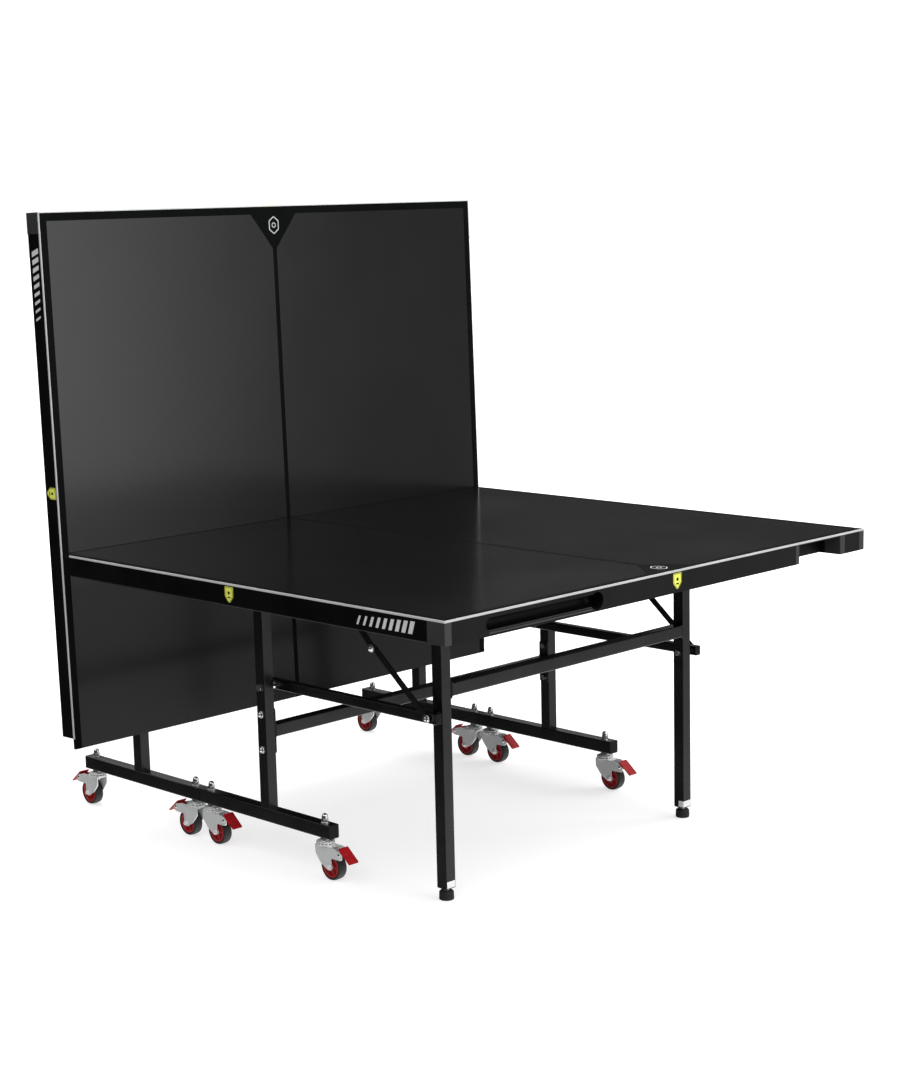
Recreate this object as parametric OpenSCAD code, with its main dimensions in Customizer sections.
// Folding ping pong table on two rolling trolleys.
// The near half stands ready to play; the far half is folded up against the net line as a
// rebound board, with its trolley rolled in. Both halves are the same parts, mirrored.
// Everything is drawn once, as a half in its playing place: +X from the net line to the
// baseline, Z = 0 on the floor. near() and far() then carry it to its place.

/* [Playing surface] */
// Distance from the net line to the baseline
half_l = 1370; // [1340:5:1370]
// Width across the playing surface
top_w = 1525; // [1500:5:1525]
// Height of the playing surface
play_h = 760; // [755:1:765]
// Thickness of the board
board_t = 8; // [7:0.5:8]
// Height of the white edge band
band_h = 5; // [4:0.5:6]
// Depth of the aprons below the playing surface
apron_d = 54; // [54:1:58]

/* [Folding gear] */
// Posts, measured from the net line
post_x = 490; // [486:1:494]
// Posts, measured from the middle of the table
post_y = 520; // [519:1:524]
// Legs, measured from the net line
leg_x = 1032; // [1026:1:1040]
// Legs, measured from the middle of the table
leg_y = 441; // [439:1:442]
// Fold axis, set towards the net from the middle of the post
fold_back = 5; // [5:0.5:6]
// Fold axis below the playing surface
fold_drop = 28; // [28:0.5:29]
// Height of the leg link bars
link_z = 445; // [440:1:450]

/* [Tubes] */
// Side of the square posts and legs
tube_w = 32; // [30:1:32]
// Wall of every steel tube
wall = 1.5; // [1.5:0.1:2]
// Height of the base rails
rail_h = 35; // [34:1:38]
// Length of one base rail
rail_l = 503; // [490:1:503]
// Underside of the base rails above the floor
rail_z = 103; // [101:1:104]

/* [Casters] */
// Diameter of a wheel
wheel_d = 69; // [66:1:70]
// Width of a wheel
wheel_w = 25; // [22:1:25]
// Wheel axle behind the swivel axis
trail = 28; // [26:1:29]
// Distance between the two swivel axes on a rail
caster_gap = 438; // [430:2:440]

/* [Stored half] */
// How far the far trolley is rolled in from its playing place
roll_in = 455; // [450:1:456]
// Lean of the folded half from upright, away from the near half
lean = 1.3; // [0:0.1:1.5]

/* [Hidden] */
$fn = 48;
fit = 0.08;
top_half_w = top_w / 2;
net_gap = 2;
sheet = 2.5;
board_z = play_h - board_t;
apron_z = play_h - apron_d;
band_z = play_h - band_h;
fold_x = post_x - fold_back;
fold_z = play_h - fold_drop;
leg_fold_x = leg_x - fold_back;
leg_shift = leg_fold_x - fold_x;
fold_up = 90 - lean;
tube_top = fold_z + 2.8;
half_tube = tube_w / 2;
pin_r = 5;

// Side aprons
side_apron_x = [30, half_l - 53];
lip = 12;

// Baseline apron: a channel with a ball store and a racket slot
box_d = 47;
cap_w = 21;
cap_y = top_half_w - cap_w;
slot_y = [482, 657];
slot_d = 66;
end_cap = 14;
ball_r = 20.5;
ball_y = [-640, -281];
ball_z = apron_z + 24;
window_z = [apron_z + 11, apron_z + 40];
store_y = [-655, -255];

// Stiffening channels under the board
channel_w = 36;
channel_h = 14;

// Trolley
rail_mid = post_x - 11;
rail_top = rail_z + rail_h;
post_bar_z = 332;
bolt_up = 45;
plate_t = 2;

// Leg frame
leg_bottom = 30;
leg_bar_z = 504;
foot_r = 18;
foot_h = 23;

// Link bars lie beside the legs, and the braces outside the links
link_y = 477;
link_w = 20;
link_h = 25;
link_end = 23;
bar_t = 4;
low_y = 487.5;
up_y = 492;

// Folding brace: anchor under the board, knee, and pin on the leg
brace_a = [717, fold_z];
knee = [860, 589];
brace_b = [leg_x, link_z];
bar_w = 16;
up_len = norm(knee - brace_a);
low_len = norm(brace_b - knee);
leg_fold = [leg_fold_x, fold_z];
fold_b = leg_fold + spin(brace_b - leg_fold, -fold_up);
gap_len = norm(fold_b - brace_a);
up_rest = heading(knee - brace_a);
low_rest = heading(knee - brace_b);
up_fold = heading(fold_b - brace_a)
    - acos((pow(up_len, 2) + pow(gap_len, 2) - pow(low_len, 2)) / (2 * up_len * gap_len));
fold_knee = brace_a + up_len * [cos(up_fold), sin(up_fold)];
up_turn = up_fold - up_rest;
low_turn = heading(fold_knee - fold_b) + 360 + fold_up - low_rest;

// Casters
head_r = 30;
fork_in = wheel_w / 2 + 1.5;
fork_t = 3;
axle_r = 4;
stem_r = 6;
stem_top = rail_top + 6;
pedal_pin = [trail + 38, 72];
pedal_up = 10.4;
pedal_in = 12.5;
pedal_l = 50;
pedal_w = 31;
pedal_t = 3;
pedal_tilt = 40;
pedal_r = 2.5;
arm_r = 6.5;
tip_r = 7.5;

// The origin is on the floor under the middle of the whole object's box
pedal_reach = pedal_pin[0] + (pedal_l - pedal_in) * cos(pedal_tilt) + pedal_up * sin(pedal_tilt);
far_x = roll_in - rail_mid - caster_gap / 2 - pedal_reach;
mid_x = (half_l + far_x) / 2;

SIDES = ["near", "far"];
HALF_PARTS = [
    "board", "edge_band", "side_aprons", "end_apron", "apron_caps", "board_frame",
    "base_rails", "posts", "post_crossbar", "trolley_bolts", "link_bars",
    "legs", "leg_crossbar", "leg_bolts", "left_foot", "right_foot",
    "brace_uppers", "brace_lowers"
];
CASTER_PLACES = ["inner_left", "inner_right", "outer_left", "outer_right"];
CASTER_PARTS = ["fork", "wheel", "pedal"];

function heading(v) = atan2(v[1], v[0]);
function spin(v, a) = [v[0] * cos(a) - v[1] * sin(a), v[0] * sin(a) + v[1] * cos(a)];

// ---- places ----

// Puts a half where it stands: the far half is the near one mirrored and rolled in.
module stand(side) {
    if (side == "near")
        translate([-mid_x, 0, 0]) children();
    else
        translate([roll_in - mid_x, 0, 0]) mirror([1, 0, 0]) children();
}

// Turns children about an axis along Y through the point p = [x, z], upwards at +X.
module turn(p, angle) {
    translate([p[0], 0, p[1]])
        rotate([0, -angle, 0])
        translate([-p[0], 0, -p[1]]) children();
}

module on_top(side) {
    stand(side) turn([fold_x, fold_z], side == "near" ? 0 : fold_up) children();
}

module on_legs(side) {
    move = side == "near" ? [0, 0] : spin([leg_shift, 0], fold_up) - [leg_shift, 0];
    stand(side) translate([move[0], 0, move[1]]) children();
}

module both_sides() {
    children();
    mirror([0, 1, 0]) children();
}

// ---- shapes ----

// Pin along Y from y0 to y1 at [x, z].
module pin(p, y0, y1, r = pin_r) {
    translate([p[0], y1, p[1]])
        rotate([90, 0, 0]) cylinder(r = r, h = y1 - y0);
}

// Hexagon head or nut along Y.
module hex_head(p, y0, y1, r = 9) {
    translate([p[0], y1, p[1]])
        rotate([90, 0, 0]) cylinder(r = r, h = y1 - y0, $fn = 6);
}

// Box tube from the corner at p with the given size, open along axis 0, 1 or 2.
module box_tube(p, size, axis) {
    inner = [for (i = [0:2]) i == axis ? size[i] + 2 : size[i] - 2 * wall];
    shift = [for (i = [0:2]) i == axis ? -1 : wall];
    translate(p) difference() {
        cube(size);
        translate(shift) cube(inner);
    }
}

// Flat bar in the XZ plane between two pins, rounded at its ends, from y0 to y1.
module flat_bar(a, b, y0, y1, w) {
    len = norm(b - a);
    translate([a[0], 0, a[1]]) rotate([0, -heading(b - a), 0]) {
        translate([0, y0, -w / 2]) cube([len, y1 - y0, w]);
        pin([0, 0], y0, y1, w / 2);
        pin([len, 0], y0, y1, w / 2);
    }
}

// ---- playing surface and aprons ----

module board(side) {
    color([0.13, 0.13, 0.15]) on_top(side)
        translate([net_gap, -top_half_w + sheet, board_z])
        cube([half_l - net_gap - sheet, top_w - 2 * sheet, board_t]);
}

module edge_band(side) {
    side_l = half_l - side_apron_x[0];
    color([0.93, 0.93, 0.93]) on_top(side) difference() {
        translate([side_apron_x[0], -top_half_w, band_z])
            cube([side_l, top_w, band_h]);
        translate([side_apron_x[0] - 1, -top_half_w + sheet, band_z - 1])
            cube([side_l + 1 - sheet, top_w - 2 * sheet, band_h + 2]);
    }
}

// Side apron: a steel angle that covers the board's edge and turns in below it.
module side_aprons(side) {
    len = side_apron_x[1] - side_apron_x[0];
    color([0.06, 0.06, 0.07]) on_top(side) both_sides()
        translate([side_apron_x[0], top_half_w - sheet, apron_z]) {
            cube([len, sheet, apron_d - band_h]);
            translate([0, -lip, 0]) cube([len, lip, sheet]);
        }
}

// Channel open towards the board, with a face plate that also covers the board's edge.
module apron_channel(y0, y1) {
    h = board_z - apron_z;
    difference() {
        translate([half_l - box_d, y0, apron_z]) cube([box_d, y1 - y0, h]);
        translate([half_l - box_d + sheet, y0 + sheet, apron_z + sheet])
            cube([box_d - 2 * sheet, y1 - y0 - 2 * sheet, h]);
    }
    translate([half_l - sheet, y0, apron_z]) cube([sheet, y1 - y0, apron_d - band_h]);
}

// Ball store: a round channel behind a long window, with a full-size mouth at one end.
module ball_store_cut() {
    window_r = (window_z[1] - window_z[0]) / 2;
    window_mid = (window_z[0] + window_z[1]) / 2;
    channel_x = half_l - sheet - ball_r;
    translate([channel_x, ball_y[1], ball_z]) sphere(r = ball_r);
    pin([channel_x, ball_z], ball_y[0], ball_y[1], ball_r);
    translate([channel_x, ball_y[1], ball_z])
        rotate([0, 90, 0]) cylinder(r = ball_r, h = ball_r + sheet + 1);
    translate([channel_x, ball_y[0] + window_r, window_mid])
        rotate([0, 90, 0]) cylinder(r = window_r, h = ball_r + sheet + 1);
    translate([channel_x, ball_y[0] + window_r, window_z[0]])
        cube([ball_r + sheet + 1, ball_y[1] - ball_y[0] - window_r, 2 * window_r]);
}

// Racket slot: a back wall and a side wall behind the gap in the apron.
module racket_slot() {
    back_x = half_l - slot_d;
    z_size = board_z - apron_z;
    translate([back_x, slot_y[0] - end_cap, apron_z])
        cube([3, slot_y[1] - slot_y[0] + end_cap, z_size]);
    translate([back_x, slot_y[1], apron_z])
        cube([slot_d - box_d, 3, z_size]);
    translate([back_x, slot_y[0] - end_cap - 3, apron_z])
        cube([slot_d - box_d, 3, z_size]);
}

module end_apron(side) {
    color([0.07, 0.07, 0.08]) on_top(side) {
        difference() {
            union() {
                apron_channel(-cap_y, slot_y[0] - end_cap);
                translate([half_l - box_d, store_y[0], apron_z])
                    cube([box_d, store_y[1] - store_y[0], board_z - apron_z]);
            }
            ball_store_cut();
        }
        apron_channel(slot_y[1] + cap_w, cap_y);
        racket_slot();
    }
}

// Plastic corner pieces and the end caps beside the racket slot.
module corner_cap() {
    h = apron_d - band_h;
    in = sheet;
    translate([side_apron_x[1], top_half_w - in, apron_z])
        cube([half_l - side_apron_x[1], in, h]);
    translate([half_l - in, cap_y, apron_z])
        cube([in, top_half_w - cap_y, h]);
    translate([side_apron_x[1], cap_y, apron_z])
        cube([half_l - side_apron_x[1], top_half_w - cap_y, 3]);
}

module apron_caps(side) {
    color([0.2, 0.2, 0.21]) on_top(side) {
        both_sides() corner_cap();
        apron_channel(slot_y[0] - end_cap, slot_y[0]);
        apron_channel(slot_y[1], slot_y[1] + cap_w);
    }
}

// ---- brackets under the board ----

// Ear hung from the board at x, from y0 to y1, with a foot plate on one side.
module ear(x, y0, y1, foot) {
    h = board_z - fold_z;
    translate([x - 14, y0, fold_z]) cube([28, y1 - y0, h]);
    pin([x, fold_z], y0, y1, 14);
    foot_y = foot > 0 ? y1 : y0 + foot;
    translate([x - 30, foot_y, board_z - 3]) cube([60, abs(foot), 3]);
}

module fold_ears() {
    y_in = post_y - half_tube;
    y_out = post_y + half_tube;
    difference() {
        union() {
            ear(fold_x, y_in - 4.5, y_in - 0.5, -14);
            ear(fold_x, y_out + 0.5, y_out + 4.5, 20);
        }
        pin([fold_x, fold_z], y_in - 5, y_out + 5, pin_r + fit);
    }
}

module leg_ears() {
    y_in = leg_y - half_tube;
    y_out = leg_y + half_tube;
    difference() {
        union() {
            ear(leg_fold_x, y_in - 4.5, y_in - 0.5, -20);
            ear(leg_fold_x, y_out + 0.5, y_out + 4.5, 4);
        }
        pin([leg_fold_x, fold_z], y_in - 5, y_out + 5, pin_r + fit);
    }
}

module brace_anchor() {
    ear(brace_a[0], up_y + bar_t + 2, up_y + bar_t + 5, 16);
    pin(brace_a, up_y + 0.2, up_y + bar_t + 3, 4);
}

// Flat channel across the underside that stiffens the board.
module cross_channel(x, half_w) {
    box_tube([x - channel_w / 2, -half_w, board_z - channel_h], [channel_w, 2 * half_w, channel_h], 1);
}

// Fold ears, leg ears, brace anchors and stiffening channels, all fixed to the board.
module board_frame(side) {
    color([0.09, 0.09, 0.1]) on_top(side) {
        both_sides() {
            fold_ears();
            leg_ears();
            brace_anchor();
        }
        cross_channel(250, 455);
        cross_channel(620, 410);
        cross_channel(1180, 745);
    }
}

// ---- trolley ----

module base_rails(side) {
    color([0.08, 0.08, 0.09]) stand(side) both_sides() difference() {
        box_tube([rail_mid - rail_l / 2, post_y - half_tube, rail_z], [rail_l, tube_w, rail_h], 0);
        for (x = [rail_mid - caster_gap / 2, rail_mid + caster_gap / 2])
            translate([x, post_y, rail_z - 1]) cylinder(r = stem_r + 0.05, h = rail_h + 2);
    }
}

module posts(side) {
    color([0.08, 0.08, 0.09]) stand(side) both_sides() difference() {
        box_tube([post_x - half_tube, post_y - half_tube, rail_top],
            [tube_w, tube_w, tube_top - rail_top], 2);
        pin([fold_x, fold_z], post_y - tube_w, post_y + tube_w, pin_r + 0.05);
        pin([post_x, link_z], post_y - tube_w, post_y + tube_w, pin_r + 0.05);
        for (dz = [-bolt_up, bolt_up])
            pin([post_x, post_bar_z + dz], post_y - tube_w, post_y + tube_w, 4.05);
    }
}

module post_crossbar(side) {
    y_end = post_y - half_tube - plate_t;
    color([0.08, 0.08, 0.09]) stand(side) {
        box_tube([post_x - half_tube, -y_end, post_bar_z - half_tube],
            [tube_w, 2 * y_end, tube_w], 1);
        both_sides() difference() {
            translate([post_x - half_tube, y_end, post_bar_z - bolt_up - 12])
                cube([tube_w, plate_t, 2 * bolt_up + 24]);
            for (dz = [-bolt_up, bolt_up])
                pin([post_x, post_bar_z + dz], y_end - 1, y_end + plate_t + 1, 4.05);
        }
    }
}

// Fold pins, link pins with their spacers, crossbar bolts, caster stems and cap nuts.
module trolley_bolts(side) {
    y_in = post_y - half_tube;
    y_out = post_y + half_tube;
    link_in = link_y - link_w / 2;
    link_out = link_y + link_w / 2;
    color([0.75, 0.75, 0.76]) stand(side) both_sides() {
        pin([fold_x, fold_z], y_in - 6, y_out + 6);
        pin([fold_x, fold_z], y_out + 4.8, y_out + 10, 8.5);
        pin([post_x, link_z], link_in - 6, y_out + 1);
        pin([post_x, link_z], link_in - 6, link_in - 0.5, 8.5);
        pin([post_x, link_z], link_out + 0.5, y_in, 9);
        pin([post_x, link_z], y_out, y_out + 6, 8.5);
        for (dz = [-bolt_up, bolt_up]) {
            pin([post_x, post_bar_z + dz], y_in - plate_t - 6, y_out + 1, 4);
            pin([post_x, post_bar_z + dz], y_out, y_out + 5, 7.5);
            hex_head([post_x, post_bar_z + dz], y_in - plate_t - 6, y_in - plate_t, 7.5);
        }
        for (x = [rail_mid - caster_gap / 2, rail_mid + caster_gap / 2])
            translate([x, post_y, 0]) {
                translate([0, 0, 75]) cylinder(r = 8.5, h = 4.5);
                translate([0, 0, 78]) cylinder(r = stem_r, h = stem_top - 78);
                translate([0, 0, 96]) cylinder(r = 12, h = rail_z - 96);
                translate([0, 0, rail_top]) cylinder(r = 11, h = 2);
                translate([0, 0, rail_top + 2]) cylinder(r = 9, h = 9, $fn = 6);
                translate([0, 0, rail_top + 11]) cylinder(r = 7.5, h = 5);
                translate([0, 0, rail_top + 16]) sphere(r = 7.5);
            }
    }
}

// ---- legs and links ----

module link_bars(side) {
    y0 = link_y - link_w / 2;
    len = leg_x - post_x;
    angle = side == "near" ? 0 : fold_up;
    color([0.08, 0.08, 0.09]) stand(side) turn([post_x, link_z], angle) both_sides() difference() {
        box_tube([post_x - link_end, y0, link_z - link_h / 2],
            [len + 2 * link_end, link_w, link_h], 0);
        pin([post_x, link_z], y0 - 1, y0 + link_w + 1, pin_r + fit);
        pin([leg_x, link_z], y0 - 1, y0 + link_w + 1, pin_r + 0.5);
    }
}

module legs(side) {
    color([0.08, 0.08, 0.09]) on_legs(side) both_sides() difference() {
        union() {
            box_tube([leg_x - half_tube, leg_y - half_tube, leg_bottom],
                [tube_w, tube_w, tube_top - leg_bottom], 2);
            translate([leg_x - half_tube + 1, leg_y - half_tube + 1, leg_bottom])
                cube([tube_w - 2, tube_w - 2, 14]);
        }
        pin([leg_fold_x, fold_z], leg_y - tube_w, leg_y + tube_w, pin_r + 0.05);
        pin([leg_x, link_z], leg_y - tube_w, leg_y + tube_w, pin_r + 0.05);
        translate([leg_x, leg_y, leg_bottom - 1]) cylinder(r = pin_r + fit, h = 60);
    }
}

module leg_crossbar(side) {
    y_end = leg_y - half_tube - plate_t;
    color([0.08, 0.08, 0.09]) on_legs(side) {
        box_tube([leg_x - half_tube + 1, -y_end, leg_bar_z - half_tube],
            [tube_w, 2 * y_end, tube_w], 1);
        both_sides() translate([leg_x - half_tube, y_end, leg_bar_z - 22])
            cube([tube_w + 1, plate_t, 44]);
    }
}

// Fold pins and link pins on the legs, with their spacers and nuts.
module leg_bolts(side) {
    y_in = leg_y - half_tube;
    y_out = leg_y + half_tube;
    color([0.75, 0.75, 0.76]) on_legs(side) both_sides() {
        pin([leg_fold_x, fold_z], y_in - 5.5, y_out + 5.5);
        pin([leg_fold_x, fold_z], y_in - 9, y_in - 5, 8);
        pin(brace_b, y_in - 1, low_y + bar_t + 6);
        pin(brace_b, y_in - 5, y_in, 7.5);
        pin(brace_b, y_out, link_y - link_w / 2 - 0.5, 9);
        hex_head(brace_b, low_y + bar_t + 0.4, low_y + bar_t + 6, 9);
    }
}

// Levelling foot: a ribbed rubber pad on a threaded stem.
module foot(side, y_sign) {
    color([0.1, 0.1, 0.1]) on_legs(side) translate([leg_x, y_sign * leg_y, 0]) {
        cylinder(r = foot_r, h = foot_h - 3);
        translate([0, 0, foot_h - 3]) cylinder(r = foot_r - 4, h = 3);
        translate([0, 0, foot_h]) cylinder(r = pin_r, h = 38);
    }
}

// ---- folding braces ----

module brace_uppers(side) {
    angle = side == "near" ? 0 : up_turn;
    color([0.08, 0.08, 0.09]) on_top(side) turn(brace_a, angle) both_sides() {
        difference() {
            flat_bar(brace_a, knee, up_y, up_y + bar_t, bar_w);
            pin(brace_a, up_y - 1, up_y + bar_t + 1, 4 + fit);
        }
        pin(knee, up_y + bar_t, up_y + bar_t + 4, 7.5);
    }
}

module brace_lowers(side) {
    angle = side == "near" ? 0 : low_turn;
    color([0.08, 0.08, 0.09]) on_legs(side) turn(brace_b, angle) both_sides() difference() {
        flat_bar(brace_b, knee, low_y, low_y + bar_t, bar_w);
        pin(brace_b, low_y - 1, low_y + bar_t + 1, pin_r + fit);
    }
}

// ---- casters, drawn with the swivel axis on Z and the wheel trailing towards +X ----

module at_caster(side, place) {
    x = place < 2 ? rail_mid - caster_gap / 2 : rail_mid + caster_gap / 2;
    y = place % 2 == 0 ? -post_y : post_y;
    stand(side) translate([x, y, 0]) children();
}

// One side plate: a leg down to the axle and an arm out to the pedal's pin.
module fork_plate() {
    arm_x = pedal_pin[0] + 2;
    rotate([90, 0, 0]) linear_extrude(fork_t)
        difference() {
            union() {
                polygon([[-17, 84], [-15, 60], [trail - tip_r, wheel_d / 2 - 2],
                    [trail + tip_r, wheel_d / 2], [trail + tip_r, 57],
                    [arm_x, pedal_pin[1] - 6.2], [arm_x, pedal_pin[1] + 6.2], [trail + 12, 84]]);
                translate([trail, wheel_d / 2]) circle(r = tip_r);
                translate(pedal_pin) circle(r = arm_r);
            }
            translate(pedal_pin) circle(r = pedal_r + fit);
        }
}

module caster_fork(side, place) {
    color([0.8, 0.81, 0.82]) at_caster(side, place) {
        difference() {
            union() {
                translate([0, 0, 84]) cylinder(r = head_r, h = 8);
                translate([0, 0, 92]) cylinder(r = 22, h = 3);
                translate([-12, -fork_in - fork_t, 80]) cube([24, 2 * (fork_in + fork_t), 4]);
            }
            translate([0, 0, 70]) cylinder(r = stem_r + fit, h = 30);
        }
        translate([0, fork_in + fork_t, 0]) fork_plate();
        translate([0, -fork_in, 0]) fork_plate();
        pin([trail, wheel_d / 2], -fork_in - fork_t - 3, fork_in + fork_t + 3, axle_r);
    }
}

module caster_wheel(side, place) {
    color([0.7, 0.12, 0.14]) at_caster(side, place)
        translate([trail, wheel_w / 2, wheel_d / 2]) rotate([90, 0, 0]) difference() {
            cylinder(r = wheel_d / 2, h = wheel_w, $fn = 64);
            translate([0, 0, -1]) cylinder(r = axle_r + fit, h = wheel_w + 2);
        }
}

// Brake pedal: a sloping plate on a lug that turns on a pin between the fork arms.
module caster_pedal(side, place) {
    lug_w = 2 * fork_in - 1;
    pin_y = fork_in + fork_t + 1.5;
    color([0.75, 0.1, 0.12]) at_caster(side, place) {
        translate([pedal_pin[0], 0, pedal_pin[1]]) rotate([0, pedal_tilt, 0]) {
            translate([-pedal_in, -pedal_w / 2, pedal_up - pedal_t]) cube([pedal_l, pedal_w, pedal_t]);
            translate([-5, -lug_w / 2, 0]) cube([10, lug_w, pedal_up - pedal_t]);
        }
        pin(pedal_pin, -lug_w / 2, lug_w / 2, 5);
        pin(pedal_pin, -pin_y, pin_y, pedal_r);
    }
}

// ---- nodes ----

module half_part(side, p) {
    if (p == "board") board(side);
    if (p == "edge_band") edge_band(side);
    if (p == "side_aprons") side_aprons(side);
    if (p == "end_apron") end_apron(side);
    if (p == "apron_caps") apron_caps(side);
    if (p == "board_frame") board_frame(side);
    if (p == "base_rails") base_rails(side);
    if (p == "posts") posts(side);
    if (p == "post_crossbar") post_crossbar(side);
    if (p == "trolley_bolts") trolley_bolts(side);
    if (p == "link_bars") link_bars(side);
    if (p == "legs") legs(side);
    if (p == "leg_crossbar") leg_crossbar(side);
    if (p == "leg_bolts") leg_bolts(side);
    if (p == "left_foot") foot(side, -1);
    if (p == "right_foot") foot(side, 1);
    if (p == "brace_uppers") brace_uppers(side);
    if (p == "brace_lowers") brace_lowers(side);
}

module caster_part(side, place, p) {
    if (p == "fork") caster_fork(side, place);
    if (p == "wheel") caster_wheel(side, place);
    if (p == "pedal") caster_pedal(side, place);
}

for (s = SIDES) for (p = HALF_PARTS)
    half_part(s, p);

for (s = SIDES) for (c = [0:3]) for (p = CASTER_PARTS)
    caster_part(s, c, p);
